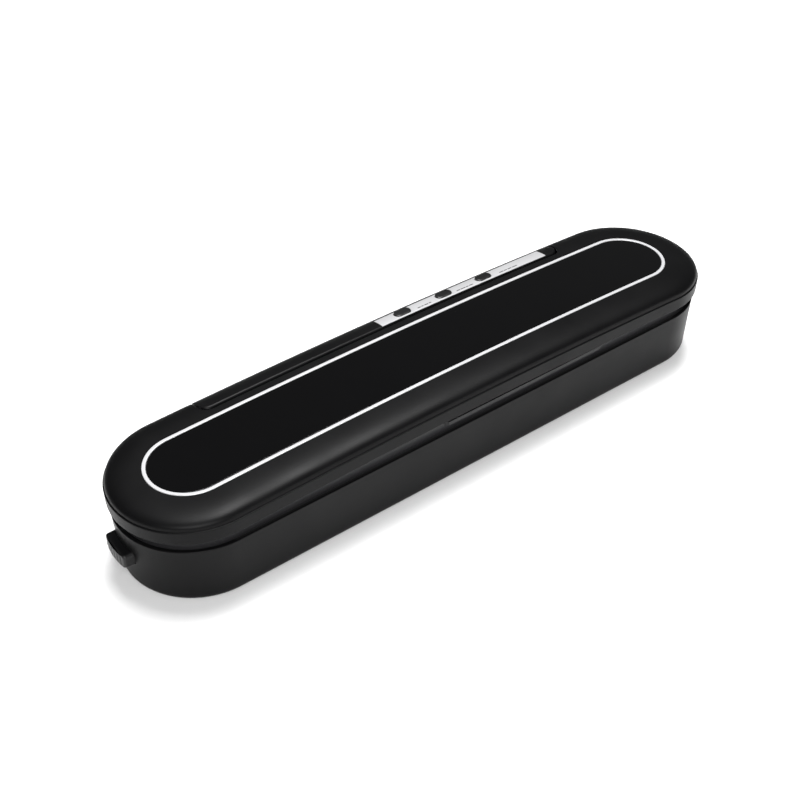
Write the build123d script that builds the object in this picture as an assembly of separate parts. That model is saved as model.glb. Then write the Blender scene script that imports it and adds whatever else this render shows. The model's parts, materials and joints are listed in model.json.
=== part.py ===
from build123d import *
import math
import os

# Compact vacuum sealer. Millimetres, +Z up. Everything is drawn with the housing's underside at
# z = 0 and lifted by the feet when it is written, so that the feet stand on z = 0.
# X runs along the length, +Y is the rear (hinge) side, and -Y is where the bag goes in.

# ---------------------------------------------------------------- driving dimensions
LENGTH = 370.0            # over the lid, without the end buttons
SKIRT_R = 41.3            # half the lid's width, and the radius of its round ends
RUN = LENGTH / 2 - SKIRT_R  # half the straight run between the round ends
FOOT_PROUD = 1.2          # how far the feet lift the housing

# lid, drawn level at the tips, crowned along its length and then tilted onto its gaskets
CROWN = 3.99              # rise of the lid's middle over its tips
TILT = 0.98               # degrees the front sits lower than the rear
Z_TOP = 52.48             # ring and panel at the tips
Z_CREASE = 47.4           # top of the skirt
Z_SKIRT = 40.08           # bottom of the skirt
DOME_R = 40.6             # where the shoulder ends, just inside the skirt
SHOULDER_R = 23.0         # where the flat top ends
SHOULDER_POWER = 0.71     # squareness of the shoulder
SKIRT_WALL = 1.7
LEDGE_DROP = 0.3
PANEL_SEAT_R = 22.55
PANEL_SEAT_DEPTH = 1.3
PANEL_R = 20.15
RING_INNER_R = 20.4
RING_OUTER_R = 22.3
RING_Y = 0.5              # the ring and panel sit a little to the rear

# notch in the lid's rear edge, and the control bar that fills it
NOTCH_X = 119.5
NOTCH_Y = 27.3
NOTCH_CORNER = 6.3
REVEAL = 0.9              # gap between bar and notch
BAR_DROP = 0.15           # the bar's top below the lid's
BAR_WALL = 2.0
BAR_EDGE = 1.5            # fillet along the bar's front top edge

# housing
WALL_TOP_R = 39.68
WALL_TOP_Z = 33.35
WALL_FOOT_R = 37.94
WALL_FOOT_Z = 4.65
WALL = 2.2
FLOOR = 2.2

# deck
DECK_R = 37.1
DECK_Z = (30.8, 32.8)
ISLAND_R = 36.2
ISLAND_TOP = 38.0
ISLAND_WALL = 2.0
ISLAND_CEILING = 35.2
SEAL_Y = 0.5              # centre line of the vacuum trough and its gaskets
TROUGH_RUN = 120.0
TROUGH_R = 14.0
TROUGH_FLOOR = 31.0
GASKET_RUN = 128.0
GASKET_R = (17.4, 22.0)
GROOVE_SLACK = 0.2
GROOVE_FLOOR = 36.4
HEATER_Y = -30.0
HEATER_HALF = 150.0
CARRIER_FLOOR = 34.6
RIBBON_Z = (38.1, 38.3)

# liner under the lid
LINER_Z = (39.6, 41.6)
LINER_R = 39.2
LINER_REAR = 24.6
SEAT_DEPTH = 1.2          # of the upper gasket's groove and the press strip's slot
TONGUE_X = (-22.0, 86.0)
TONGUE_Y = -41.0

# hinge
HINGE_Y = 34.5
HINGE_Z = 48.5
PIN_R = 1.5
PIN_CLEARANCE = 0.06
LUG_R = 4.1
LUG_WIDTH = 6.6
ABOVE_LID = 60.0
SWING_R = 9.7             # clearance round the hinge, for the lid's edge to pass the control bar
SWING_GAP = 0.35
# the notch's round corner in short steps: place in x, and the clearance round the hinge from there on
SWING_CORNER = [(112.9, 8.6), (115.0, 8.3), (116.5, 7.9), (117.5, 7.4), (118.4, 6.65), (119.05, 0.0)]

# control plate and buttons
PLATE_X = (-8.0, 109.0)
PLATE_Y = (29.1, 37.0)
PLATE_THICK = 0.8
BUTTON_X = (8.4, 36.8, 65.3)
BUTTON_Y = 33.2
BUTTON_SIZE = (10.4, 5.4)
BUTTON_GAP = 0.2
BUTTON_PROUD = 0.4
BUTTON_TRAVEL = 0.8
SWITCH_TOP = 50.4
BOARD_TOP = 47.2

# end buttons and latch
CAP_REACH = 43.9          # reach of the finger face from the round end's centre
CAP_BACK = -176.5         # inner face of the left button
CAP_Y = (-7.4, 13.0)
CAP_Z = (16.0, 23.4)
CAP_GAP = 0.35
BEYOND = 195.0            # clear of either end of the case
HOOK_X = 164.0

# pump
MOTOR_Y = 6.0
MOTOR_Z = 14.5
MOTOR_R = 11.2
MOUNT_X = (-84.0, -68.0)  # the two rubber rings that hold the motor
HOSE_Y = -6.5
NOZZLE_Z = 32.3
CRANK_THROW = 1.5
VALVE_X = -46.0

# electrics
LID_SWITCH = (146.0, 26.5)
INLET_X = 118.0
INLET_Z = 17.0

CROWN_RADIUS = (RUN ** 2 / 2 + SKIRT_R * RUN) / CROWN
CROWN_ANGLE = math.degrees(RUN / CROWN_RADIUS)
CROWN_CENTRE_Z = (Z_CREASE + CROWN) - CROWN_RADIUS
CROWN_AXIS = Axis((0, 0, CROWN_CENTRE_Z), (0, 1, 0))
TILT_AXIS = Axis((0, SKIRT_R, Z_SKIRT), (1, 0, 0))
SCREW_SPOTS = [(60 * sx, y) for sx in (-1, 1) for y in (-20.5, 21.5)]
SCREW_SPOTS += [(146 * sx, y) for sx in (-1, 1) for y in (-17.0, 18.0)]
LINER_SPOTS = [(x, -36.0) for x in (-120, -40, 40, 120)]
LINER_SPOTS += [(x, 9.0) for x in (-168, 168)] + [(x, 26.5) for x in (-142, 142)]
BOARD_X = (-34.0, 44.0)
BOARD_Y = (-16.0, 17.0)
BOARD_Z = (5.6, 7.2)
BOARD_SPOTS = [(x, y) for x in (BOARD_X[0] + 4, BOARD_X[1] - 4) for y in (BOARD_Y[0] + 4, BOARD_Y[1] - 4)]

os.makedirs("parts", exist_ok=True)


# ---------------------------------------------------------------- helpers
def block(x, y, z):
    """A box between the given (low, high) pairs."""
    size = [high - low for low, high in (x, y, z)]
    middle = [(high + low) / 2 for low, high in (x, y, z)]
    return Pos(*middle) * Box(*size)


def post(x, y, z, radius):
    """An upright cylinder between the heights in z."""
    return Pos(x, y, (z[0] + z[1]) / 2) * Cylinder(radius, z[1] - z[0])


def bar_x(x, y, z, radius):
    """A cylinder along X between the places in x."""
    return Pos((x[0] + x[1]) / 2, y, z) * Rot(0, 90, 0) * Cylinder(radius, x[1] - x[0])


def plan(radius, run=RUN, y=0.0):
    """The stadium outline, looking down."""
    return Pos(0, y) * SlotCenterToCenter(2 * run, 2 * radius)


def slab(outline, z):
    """A flat outline raised between the heights in z."""
    return Pos(0, 0, z[0]) * extrude(outline, z[1] - z[0])


def section(*edges):
    """A half section, given in (y, z), in the plane across the middle."""
    return Plane.YZ * make_face(list(edges))


def outline(*points):
    """A closed half section of straight lines."""
    return Plane.YZ * make_face(Polyline(*points, close=True))


def run_round(half, y=0.0, crowned=False):
    """Carries a half section along the straight run and round both ends."""
    across = half + mirror(half, about=Plane.XZ)
    end = revolve(half, Axis.Z, 180)
    if crowned:
        straight = revolve(across.rotate(CROWN_AXIS, -CROWN_ANGLE), CROWN_AXIS, 2 * CROWN_ANGLE)
        left = end.rotate(CROWN_AXIS, -CROWN_ANGLE)
        right = end.rotate(Axis.Z, 180).rotate(CROWN_AXIS, CROWN_ANGLE)
    else:
        straight = extrude(across, RUN, both=True)
        left = Pos(-RUN, 0, 0) * end
        right = Pos(RUN, 0, 0) * end.rotate(Axis.Z, 180)
    return Pos(0, y, 0) * (straight + left + right)


def shoulder(start=SHOULDER_R, end=DOME_R, inset=0.0, drop=0.0):
    """The rounded edge from the flat top down to the crease, or a stretch of it, as one smooth curve."""
    top = Z_TOP + CROWN - inset - drop
    low = Z_CREASE + CROWN - drop
    reach = DOME_R - inset - SHOULDER_R

    def at(turn):
        across = max(math.sin(turn), 0.0) ** SHOULDER_POWER
        upward = max(math.cos(turn), 0.0) ** SHOULDER_POWER
        return Vector(SHOULDER_R + reach * across, low + (top - low) * upward)

    def turn_at(y):
        return math.asin(min(1.0, ((y - SHOULDER_R) / reach) ** (1 / SHOULDER_POWER)))

    first, last = turn_at(start), turn_at(end)
    points = [at(first + (last - first) * step / 8) for step in range(9)]
    leaving = at(first + 0.001) - at(first) if first else Vector(1, 0)
    arriving = at(last) - at(last - 0.001) if end < DOME_R - inset else Vector(0, -1)
    return Spline(*points, tangents=[leaving.normalized(), arriving.normalized()])


def lid_envelope(bottom, drop=0.0):
    """The lid's outer form as a filled solid, level, down to a height below the skirt."""
    top = Z_TOP + CROWN - drop
    ledge = Z_CREASE + CROWN - drop
    edges = [
        Line((0, top), (SHOULDER_R, top)),
        shoulder(drop=drop),
        Polyline((DOME_R, ledge), (SKIRT_R, ledge - LEDGE_DROP), (SKIRT_R, bottom), (0, bottom), (0, top)),
    ]
    return run_round(section(*edges), crowned=True)


def tilted(solid):
    """The lid's small forward tilt onto its gaskets."""
    return solid.rotate(TILT_AXIS, TILT)


def bar_top(x):
    """Height of the control bar's top at x."""
    return Z_TOP + CROWN - BAR_DROP - x ** 2 / (2 * CROWN_RADIUS)


def notch_plan(gap=0.0):
    """Outline of the notch, or of the bar in it, with round front corners, reaching past the rear."""
    half = NOTCH_X - gap
    depth = 60.0
    box = Pos(0, NOTCH_Y + gap + depth / 2) * Rectangle(2 * half, depth)
    corners = box.vertices().sort_by(Axis.Y)[:2]
    return fillet(corners, NOTCH_CORNER - gap)


def both_ends(make):
    """A piece and its mirror image at the other end, as a pair."""
    left = make()
    return left, mirror(left, about=Plane.YZ)


# ---------------------------------------------------------------- lid
def swing_steps():
    """Both notch corners in short steps: the stretch in x, and its clearance round the hinge."""
    for (start, radius), (end, _) in zip(SWING_CORNER, SWING_CORNER[1:]):
        for side in (-1, 1):
            yield sorted((side * start, side * end)), radius


def swing_clearance():
    """The space round the control bar that the lid's edge needs as it swings."""
    angle = math.degrees((NOTCH_X - NOTCH_CORNER) / CROWN_RADIUS)
    disc = Plane.YZ * (Pos(HINGE_Y, HINGE_Z) * Circle(SWING_R))
    along = revolve(disc.rotate(CROWN_AXIS, -angle), CROWN_AXIS, 2 * angle)
    corners = [bar_x(x, HINGE_Y, HINGE_Z, radius) for x, radius in swing_steps()]
    return corners[::-1] + [along]


def make_lid_shell():
    shell = lid_envelope(Z_SKIRT + CROWN)
    roof = Z_TOP + CROWN - 3.1
    inner_r = SKIRT_R - SKIRT_WALL
    eave = [(inner_r, roof - 3.4), (38.3, roof - 1.2), (35.4, roof)]
    hollow = outline((0, 30), (inner_r, 30), *eave, (0, roof))
    inside = []
    for x in (NOTCH_X, -NOTCH_X - LUG_WIDTH):
        lug = bar_x((x, x + LUG_WIDTH), HINGE_Y, HINGE_Z, LUG_R)
        lug += block((x, x + LUG_WIDTH), (HINGE_Y - LUG_R, HINGE_Y + LUG_R), (HINGE_Z, ABOVE_LID))
        cheek = sorted((math.copysign(NOTCH_X, x), math.copysign(NOTCH_X + 1.8, x)))
        inside.append(lug + block(cheek, (NOTCH_Y, SKIRT_R - 1), (Z_SKIRT + 2.6, ABOVE_LID)))
    for x, y in LINER_SPOTS:
        inside.append(post(x, y, (LINER_Z[1], ABOVE_LID), 2.9))
    filled = tilted(shell)
    solid = filled - tilted(run_round(hollow, crowned=True))
    solid = solid - tilted(slab(notch_plan(), (20, 80)))
    for clearance in swing_clearance():
        solid = solid - clearance
    for feature in inside:
        solid = solid + (feature & (Pos(0, 0, -1.2) * filled))
    seat = outline((0, Z_TOP + CROWN - PANEL_SEAT_DEPTH), (PANEL_SEAT_R, Z_TOP + CROWN - PANEL_SEAT_DEPTH),
                   (PANEL_SEAT_R, 70), (0, 70))
    solid = solid - tilted(run_round(seat, y=RING_Y, crowned=True))
    for side in (-1, 1):
        x = sorted((side * (NOTCH_X - 1), side * (NOTCH_X + 8)))
        solid = solid - bar_x(x, HINGE_Y, HINGE_Z, PIN_R + PIN_CLEARANCE)
    for x, y in LINER_SPOTS:
        solid = solid - post(x, y, (LINER_Z[1] - 1, LINER_Z[1] + 6.5), 1.1)
    return solid


def make_top_panel():
    low = Z_TOP + CROWN - PANEL_SEAT_DEPTH
    half = outline((0, low), (PANEL_R, low), (PANEL_R, Z_TOP + CROWN - 0.05), (0, Z_TOP + CROWN - 0.05))
    return tilted(run_round(half, y=RING_Y, crowned=True))


def make_trim_ring():
    low = Z_TOP + CROWN - PANEL_SEAT_DEPTH
    top = Z_TOP + CROWN + 0.05
    half = outline((RING_INNER_R, low), (RING_OUTER_R, low), (RING_OUTER_R, top), (RING_INNER_R, top))
    return tilted(run_round(half, y=RING_Y, crowned=True))


def gasket_plan(slack=0.0):
    """The racetrack of a gasket, or of its groove with some slack, looking down."""
    return plan(GASKET_R[1] + slack, GASKET_RUN, SEAL_Y) - plan(GASKET_R[0] - slack, GASKET_RUN, SEAL_Y)


def liner_plan():
    """The liner's outline, cut straight in front of the control bar."""
    whole = plan(LINER_R)
    cut = Pos(0, LINER_REAR + 20) * Rectangle(2 * (NOTCH_X + 8), 40)
    tongue = Pos((TONGUE_X[0] + TONGUE_X[1]) / 2, TONGUE_Y + 4)
    lip = chamfer((Rectangle(TONGUE_X[1] - TONGUE_X[0], 8)).vertices().sort_by(Axis.Y)[:2], 1.6)
    return whole - cut + tongue * lip


def make_lid_liner():
    z0, z1 = LINER_Z
    liner = slab(liner_plan(), LINER_Z)
    rear = block((-117, 117), (LINER_REAR - 1.8, LINER_REAR), (z1, 56))
    under = tilted(lid_envelope(Z_SKIRT) & block((-200, 200), (-60, 60), (0, 100)))
    roof_gap = Pos(0, 0, -3.7) * under
    liner = liner + (rear & roof_gap)
    liner = liner - slab(gasket_plan(GROOVE_SLACK), (z0 - 1, z0 + SEAT_DEPTH))
    slot_x = (-HEATER_HALF - 1.5, HEATER_HALF + 1.5)
    liner = liner - block(slot_x, (HEATER_Y - 3.2, HEATER_Y + 3.2), (z0 - 1, z0 + SEAT_DEPTH))
    for x, y in LINER_SPOTS:
        liner = liner - post(x, y, (z0 - 1, z1 + 1), 1.5) - post(x, y, (z0 - 1, z0 + 0.9), 2.7)
    return liner


def make_upper_gasket():
    return slab(gasket_plan(), (38.95, LINER_Z[0] + SEAT_DEPTH))


def make_press_strip():
    strip_x = (-HEATER_HALF - 1.2, HEATER_HALF + 1.2)
    strip = block(strip_x, (HEATER_Y - 2.9, HEATER_Y + 2.9), (38.9, LINER_Z[0] + SEAT_DEPTH))
    long_edges = strip.edges().filter_by(Axis.X).sort_by(Axis.Z)[:2]
    return fillet(long_edges, 0.6)


def make_latch_hooks():
    shank = block((-1.5, 1.5), (-5, 5), (34.0, LINER_Z[0]))
    pad = block((-3.5, 5.5), (-5, 5), (LINER_Z[0] - 0.9, LINER_Z[0]))
    barb = Polyline((1.5, 34.0), (1.7, 34.0), (3.6, 35.6), (3.6, 36.4), (1.5, 36.4), close=True)
    nose = extrude(Plane.XZ * make_face(barb), 5, both=True)
    hook = Pos(-HOOK_X, 0, 0) * (shank + pad + nose)
    return hook + mirror(hook, about=Plane.YZ)


def make_liner_screws():
    screws = Part()
    seat = LINER_Z[0] + 0.9
    for x, y in LINER_SPOTS:
        screws += post(x, y, (seat - 0.8, seat), 2.4) + post(x, y, (seat, LINER_Z[1] + 5.5), 1.1)
    return screws


# ---------------------------------------------------------------- housing and deck
def cap_outline(gap=0.0):
    """The end button's outline in (y, z), or of its window with a gap round it: thinner at the rear."""
    front, rear = CAP_Y
    low, top = CAP_Z
    points = [(rear, top), (rear, low + 1.2), (rear - 2, low + 0.2), (front + 1, low), (front, low + 1),
              (front, top - 1.2), (front + 1.2, top)]
    face = make_face(Polyline(*points, close=True))
    if gap:
        face = offset(face, gap)
    return Plane.YZ * face


def make_base_housing():
    def wall_r(z, inset=0.0):
        slope = (WALL_TOP_R - WALL_FOOT_R) / (WALL_TOP_Z - WALL_FOOT_Z)
        return WALL_FOOT_R + slope * (z - WALL_FOOT_Z) - inset

    bend = WALL_FOOT_Z
    foot_r = WALL_FOOT_R - bend
    above = WALL_TOP_Z + 1
    rim = [(WALL_TOP_R, WALL_TOP_Z - 0.5), (WALL_TOP_R - 0.5, WALL_TOP_Z), (0, WALL_TOP_Z)]
    outer = section(
        Line((0, 0), (foot_r, 0)),
        RadiusArc((foot_r, 0), (WALL_FOOT_R, bend), -bend),
        Polyline((WALL_FOOT_R, bend), *rim),
        Line((0, WALL_TOP_Z), (0, 0)),
    )
    inside = [(foot_r - 1.2, FLOOR), (wall_r(6.5, WALL), 6.5), (wall_r(WALL_TOP_Z, WALL), above)]
    inner = outline((0, FLOOR), *inside, (0, above))
    tub = run_round(outer) - run_round(inner)
    ribs = Part()
    for x in MOUNT_X:
        ribs += block((x - 1.2, x + 1.2), (MOTOR_Y - 15, MOTOR_Y + 15), (FLOOR, MOTOR_Z - 2))
    ribs = ribs - bar_x((-90, -60), MOTOR_Y, MOTOR_Z, MOTOR_R + 1.1)
    for x, y in SCREW_SPOTS:
        ribs += post(x, y, (FLOOR, DECK_Z[0]), 3.6)
    for x, y in BOARD_SPOTS:
        ribs += post(x, y, (FLOOR, BOARD_Z[0]), 2.6) - post(x, y, (FLOOR + 0.5, BOARD_Z[0]), 1.1)
    tub = tub + ribs
    for x, y in SCREW_SPOTS:
        tub = tub - post(x, y, (-1, DECK_Z[0] + 1), 1.7) - post(x, y, (-1, 4.0), 3.2)
    window = Pos(-BEYOND, 0, 0) * extrude(cap_outline(CAP_GAP), 30)
    tub = tub - window - mirror(window, about=Plane.YZ)
    recess = block((INLET_X - 10.2, INLET_X + 10.2), (30, 50), (INLET_Z - 7.2, INLET_Z + 7.2))
    return tub - recess


def make_base_deck():
    notch = Pos(0, 27.4 + 20) * Rectangle(2 * (NOTCH_X + 0.4), 40)
    island_plan = plan(ISLAND_R) - notch
    hollow_plan = offset(island_plan, -ISLAND_WALL)
    deck = slab(plan(DECK_R), DECK_Z) + slab(island_plan, (DECK_Z[0], ISLAND_TOP))
    rim = deck.edges().group_by(Axis.Z)[-1]
    deck = chamfer(rim, 0.5)
    deck = deck - slab(hollow_plan, (DECK_Z[0] - 1, ISLAND_CEILING))
    deck = deck + slab(plan(TROUGH_R + 1.5, TROUGH_RUN, SEAL_Y), (TROUGH_FLOOR - 2, ISLAND_CEILING))
    heater_x = (-HEATER_HALF - 2.4, HEATER_HALF + 2.4)
    under_x = (heater_x[0] - 1, heater_x[1] + 1)
    deck = deck + block(under_x, (HEATER_Y - 4.3, HEATER_Y + 4.3), (33.0, ISLAND_CEILING))
    for x, y in SCREW_SPOTS:
        deck = deck + post(x, y, (DECK_Z[0], ISLAND_CEILING), 3.4) - post(x, y, (DECK_Z[0] - 1, 34.4), 1.1)
    for side in (-1, 1):
        deck = deck + block(sorted((side * 149.5, side * 148)), (0.2, 6.2), (28.2, ISLAND_CEILING))
    deck = deck - slab(plan(TROUGH_R, TROUGH_RUN, SEAL_Y), (TROUGH_FLOOR, ISLAND_TOP + 1))
    deck = deck - slab(gasket_plan(GROOVE_SLACK), (GROOVE_FLOOR, ISLAND_TOP + 1))
    deck = deck - block(heater_x, (HEATER_Y - 3.3, HEATER_Y + 3.3), (CARRIER_FLOOR, ISLAND_TOP + 1))
    for side in (-1, 1):
        x = sorted((side * (HOOK_X - 5.5), side * (HOOK_X + 4.5)))
        deck = deck - block(x, (-9.5, 6.5), (ISLAND_CEILING - 1, ISLAND_TOP + 1))
    deck = deck - bar_x((-140, -130), HOSE_Y, NOZZLE_Z, 2.1)
    deck = deck - post(VALVE_X, SEAL_Y, (TROUGH_FLOOR - 3, TROUGH_FLOOR + 1), 2.6)
    deck = deck - post(*LID_SWITCH, (ISLAND_CEILING - 1, ISLAND_TOP + 1), 2.4)
    wiring_slot = block((20, 80), (30.0, 36.0), (DECK_Z[0] - 1, DECK_Z[1] + 1))
    return deck - wiring_slot


def make_lower_gasket():
    return slab(gasket_plan(), (GROOVE_FLOOR, 38.65))


def make_heater_carrier():
    carrier_x = (-HEATER_HALF - 2, HEATER_HALF + 2)
    return block(carrier_x, (HEATER_Y - 3, HEATER_Y + 3), (CARRIER_FLOOR, RIBBON_Z[0]))


def make_heating_ribbon():
    return block((-HEATER_HALF, HEATER_HALF), (HEATER_Y - 1.5, HEATER_Y + 1.5), RIBBON_Z)


def make_seal_tape():
    tape_x = (-HEATER_HALF - 1, HEATER_HALF + 1)
    return block(tape_x, (HEATER_Y - 2.8, HEATER_Y + 2.8), (RIBBON_Z[1], RIBBON_Z[1] + 0.2))


def make_heater_terminals():
    pair = Part()
    for side in (-1, 1):
        x = side * (HEATER_HALF - 4)
        pair += post(x, HEATER_Y, (27.0, 33.0), 1.6)
        pair += block((x - 3, x + 3), (HEATER_Y - 2.5, HEATER_Y + 2.5), (31.6, 33.0))
    return pair


def make_rubber_feet():
    feet = Part()
    for x in (-120, 120):
        for y in (-20, 20):
            feet += fillet(post(x, y, (-FOOT_PROUD, 0), 6.5).edges().sort_by(Axis.Z)[0], 0.5)
    return feet


def make_housing_screws():
    screws = Part()
    for x, y in SCREW_SPOTS:
        head = post(x, y, (1.8, 4.0), 2.9) - post(x, y, (1.0, 3.0), 1.2)
        screws += head + post(x, y, (4.0, 34.0), 1.1)
    return screws


# ---------------------------------------------------------------- control bar
def bar_run(*edges):
    """Carries a section of the control bar along its crowned length, past both ends."""
    angle = math.degrees((NOTCH_X + 5) / CROWN_RADIUS)
    return revolve(section(*edges).rotate(CROWN_AXIS, -angle), CROWN_AXIS, 2 * angle)


def bar_form():
    """The bar's outer form: rounded front edge, the lid's shoulder, skirt and a reveal under it."""
    front = NOTCH_Y + REVEAL
    edge = shoulder(start=front + BAR_EDGE, drop=BAR_DROP)
    rise = (edge @ 0).Y
    ledge = Z_CREASE + CROWN - BAR_DROP
    step = Z_SKIRT + CROWN
    rear = SKIRT_R - 1.9
    foot = 20
    return bar_run(
        Line((front, foot), (front, rise - BAR_EDGE)),
        RadiusArc((front, rise - BAR_EDGE), (front + BAR_EDGE, rise), BAR_EDGE),
        edge,
        Polyline((DOME_R, ledge), (SKIRT_R, ledge - LEDGE_DROP), (SKIRT_R, step), (rear, step - 1.9),
                 (rear, foot), (front, foot)),
    )


def bar_hollow():
    """The space inside the bar, open below."""
    front = NOTCH_Y + REVEAL + BAR_WALL - 1
    roof = shoulder(start=front, end=DOME_R - BAR_WALL, inset=BAR_WALL, drop=BAR_DROP)
    ledge = Z_CREASE + CROWN - BAR_DROP
    back = DOME_R - BAR_WALL
    foot = 10
    return bar_run(
        Line((front, foot), roof @ 0),
        roof,
        Polyline((back, ledge), (back, ledge - 5), (37.4, ledge - 7), (37.4, foot), (front, foot)),
    )


def make_control_bar():
    outer = bar_form() & slab(notch_plan(REVEAL), (WALL_TOP_Z + 0.05, ABOVE_LID + 10))
    inner = bar_hollow() & slab(notch_plan(REVEAL + BAR_WALL), (25, ABOVE_LID + 10))
    shell = outer - inner
    for x, radius in swing_steps():
        corner = block(x, (NOTCH_Y, HINGE_Y), (HINGE_Z + 2, ABOVE_LID))
        shell = shell - (corner - bar_x((x[0] - 1, x[1] + 1), HINGE_Y, HINGE_Z, radius - SWING_GAP))
    clip = Pos(0, 0, -0.8) * outer
    for side in (-1, 1):
        boss = bar_x(sorted((side * 110, side * (NOTCH_X - REVEAL - 1))), HINGE_Y, HINGE_Z, 4.0)
        shell = shell + (boss & clip)
        shell = shell - bar_x(sorted((side * 112, side * 125)), HINGE_Y, HINGE_Z, PIN_R)
    for x in (-4.0, 104.0):
        shell = shell + (post(x, BUTTON_Y, (BOARD_TOP, ABOVE_LID), 2.2) & clip)
    shell = shell - plate_strip(0.0, 3.0)
    for x in BUTTON_X:
        shell = shell - button_prism(x, BUTTON_GAP, (40, 80))
    return shell


def plate_strip(shrink, rise):
    """A strip that follows the bar's top, from the plate's underside to a rise above the bar's skin."""
    low, high = PLATE_Y[0] + shrink, PLATE_Y[1] - shrink
    under = shoulder(start=low, end=high, drop=BAR_DROP + PLATE_THICK)
    over = shoulder(start=low, end=high, drop=BAR_DROP - rise)
    strip = bar_run(under, over, Line(under @ 0, over @ 0), Line(under @ 1, over @ 1))
    return strip & block((PLATE_X[0] + shrink, PLATE_X[1] - shrink), (0, 60), (20, 80))


def button_prism(x, gap, z):
    """The upright prism of a control button, or of its hole with a gap round it."""
    face = SlotOverall(BUTTON_SIZE[0] + 2 * gap, BUTTON_SIZE[1] + 2 * gap)
    return Pos(x, BUTTON_Y, 0) * slab(face, z)


def make_control_plate():
    plate = plate_strip(0.1, 0.0)
    for x in BUTTON_X:
        plate = plate - button_prism(x, BUTTON_GAP, (40, 80))
    return plate


def make_control_button(x):
    top = bar_top(x)
    cap = button_prism(x, 0.0, (top - 2.9, top + BUTTON_PROUD))
    cap = fillet(cap.edges().group_by(Axis.Z)[-1], 0.5)
    flange = button_prism(x, 0.5, (top - 4.0, top - 2.9)) & block((x - 8, x + 8), (30.5, 35.6), (0, 80))
    stem = post(x, BUTTON_Y, (SWITCH_TOP + BUTTON_TRAVEL + 0.15, top - 3), 1.5)
    return cap + flange + stem


def make_control_board():
    return block((-9, 109), (30.8, 36.4), (BOARD_TOP - 1.2, BOARD_TOP))


def make_tact_switches():
    group = Part()
    for x in BUTTON_X:
        group += block((x - 2.3, x + 2.3), (BUTTON_Y - 2.3, BUTTON_Y + 2.3), (BOARD_TOP, BOARD_TOP + 2.4))
        group += post(x, BUTTON_Y, (BOARD_TOP + 2.4, SWITCH_TOP), 1.2)
    return group


def make_hinge_pins():
    pins = Part()
    for side in (-1, 1):
        pins += bar_x(sorted((side * 112, side * (NOTCH_X + 6.3))), HINGE_Y, HINGE_Z, PIN_R)
    return pins


# ---------------------------------------------------------------- end buttons and latch sliders
def make_release_button():
    prism = Pos(-BEYOND, 0, 0) * extrude(cap_outline(), BEYOND + CAP_BACK)
    return prism & post(-RUN, 0, (0, 40), CAP_REACH)


def make_release_slider():
    stem = block((CAP_BACK, -170), (-1.0, 8.0), (20.9, 23.2))
    riser = block((-172.0, -170.0), (-1.0, 6.0), (20.9, 33.4))
    frame = block((-172.0, -157.5), (-10.8, 7.8), (30.6, 33.4))
    window = block((-168.6, -161.2), (-9.3, 6.3), (30, 34))
    return stem + riser + (frame - window)


def make_release_spring():
    coil = Helix(pitch=1.7, height=6.8, radius=2.0)
    wire = sweep(Plane(coil @ 0, z_dir=coil % 0) * Circle(0.3), path=coil, is_frenet=True)
    return Pos(-156.9, 3.0, 31.9) * Rot(0, 90, 0) * wire


# ---------------------------------------------------------------- pump
def make_pump_crankcase():
    body = block((-112, -91), (MOTOR_Y - 10, MOTOR_Y + 10), (4.0, 25.0))
    hollow = block((-109.5, -93), (MOTOR_Y - 11, MOTOR_Y + 7.6), (6.2, 22.8))
    return body - hollow - bar_x((-95, -90), MOTOR_Y, MOTOR_Z, 2.4)


def make_pump_diaphragm():
    return block((-111.5, -91.5), (MOTOR_Y - 10.9, MOTOR_Y - 10), (4.5, 24.5))


def make_pump_head():
    head = block((-112, -91), (MOTOR_Y - 16, MOTOR_Y - 10.9), (4.0, 25.0))
    barb = bar_x((-121, -112), HOSE_Y, MOTOR_Z, 1.7)
    return head + barb - bar_x((-122, -105), HOSE_Y, MOTOR_Z, 0.9)


def make_pump_motor():
    can = fillet(bar_x((-91, -60), MOTOR_Y, MOTOR_Z, MOTOR_R).edges().sort_by(Axis.X)[-1], 1.5)
    bearing = bar_x((-60, -57.5), MOTOR_Y, MOTOR_Z, 3.2)
    return can + bearing - bar_x((-95, -76), MOTOR_Y, MOTOR_Z, 1.08)


def make_motor_mounts():
    mounts = Part()
    for x in MOUNT_X:
        mounts += bar_x((x - 2, x + 2), MOTOR_Y, MOTOR_Z, MOTOR_R + 1)
        mounts -= bar_x((x - 3, x + 3), MOTOR_Y, MOTOR_Z, MOTOR_R + 0.05)
    return mounts


def make_pump_eccentric():
    shaft = bar_x((-100.5, -77), MOTOR_Y, MOTOR_Z, 1.0)
    disc = bar_x((-100.5, -96.5), MOTOR_Y, MOTOR_Z, 4.6)
    pin = bar_x((-106.5, -100.5), MOTOR_Y + CRANK_THROW, MOTOR_Z, 1.2)
    return shaft + disc + pin


def make_pump_rod():
    y = MOTOR_Y + CRANK_THROW
    ring = bar_x((-105.8, -101.2), y, MOTOR_Z, 3.2)
    stem = block((-105.3, -101.7), (MOTOR_Y - 6.4, y), (MOTOR_Z - 1.5, MOTOR_Z + 1.5))
    return ring + stem - bar_x((-107, -100), y, MOTOR_Z, 1.25)


def make_pump_hose():
    y, low, high = HOSE_Y, MOTOR_Z, NOZZLE_Z
    turn_x = -142.0
    bend = (high - low) / 2
    path = Line((-114, y, low), (turn_x, y, low))
    arc = ThreePointArc((turn_x, y, low), (turn_x - bend, y, low + bend), (turn_x, y, high))
    back = Line((turn_x, y, high), (-138.0, y, high))
    route = Wire([path, arc, back])
    start = Plane((-114, y, low), z_dir=(-1, 0, 0))
    return sweep(start * (Circle(2.7) - Circle(1.75)), path=route)


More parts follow.
